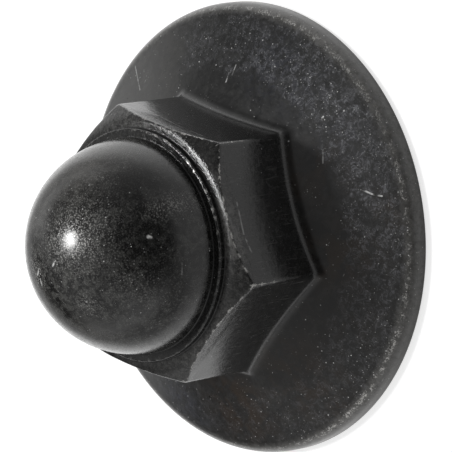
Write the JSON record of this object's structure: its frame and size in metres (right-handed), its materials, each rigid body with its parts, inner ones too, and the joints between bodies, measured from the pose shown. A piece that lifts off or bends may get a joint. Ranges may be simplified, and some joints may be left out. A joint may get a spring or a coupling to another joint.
{
  "type": "flanged cap nut",
  "caption": "Domed cap nut with a wide conical washer flange, a spanner hexagon and a blind tapped hole, in worn black-finished steel; closes and covers the end of a bolt or stud",
  "frame": {"origin": "middle of the flat bearing face under the flange, on the thread axis", "axes": "+Z runs along the thread axis from the bearing face to the top of the dome; two corners of the hexagon lie on the X axis; -Y is the side nearest the camera in the picture"},
  "size_m": [0.0295, 0.0294, 0.0183],
  "materials": {
    "black_steel": "black oxide on steel, satin, worn bright on the edges, with fine scratches and pale specks"
  },
  "bodies": {
    "root": {"cap_nut": "black_steel"}
  },
  "joints": []
}
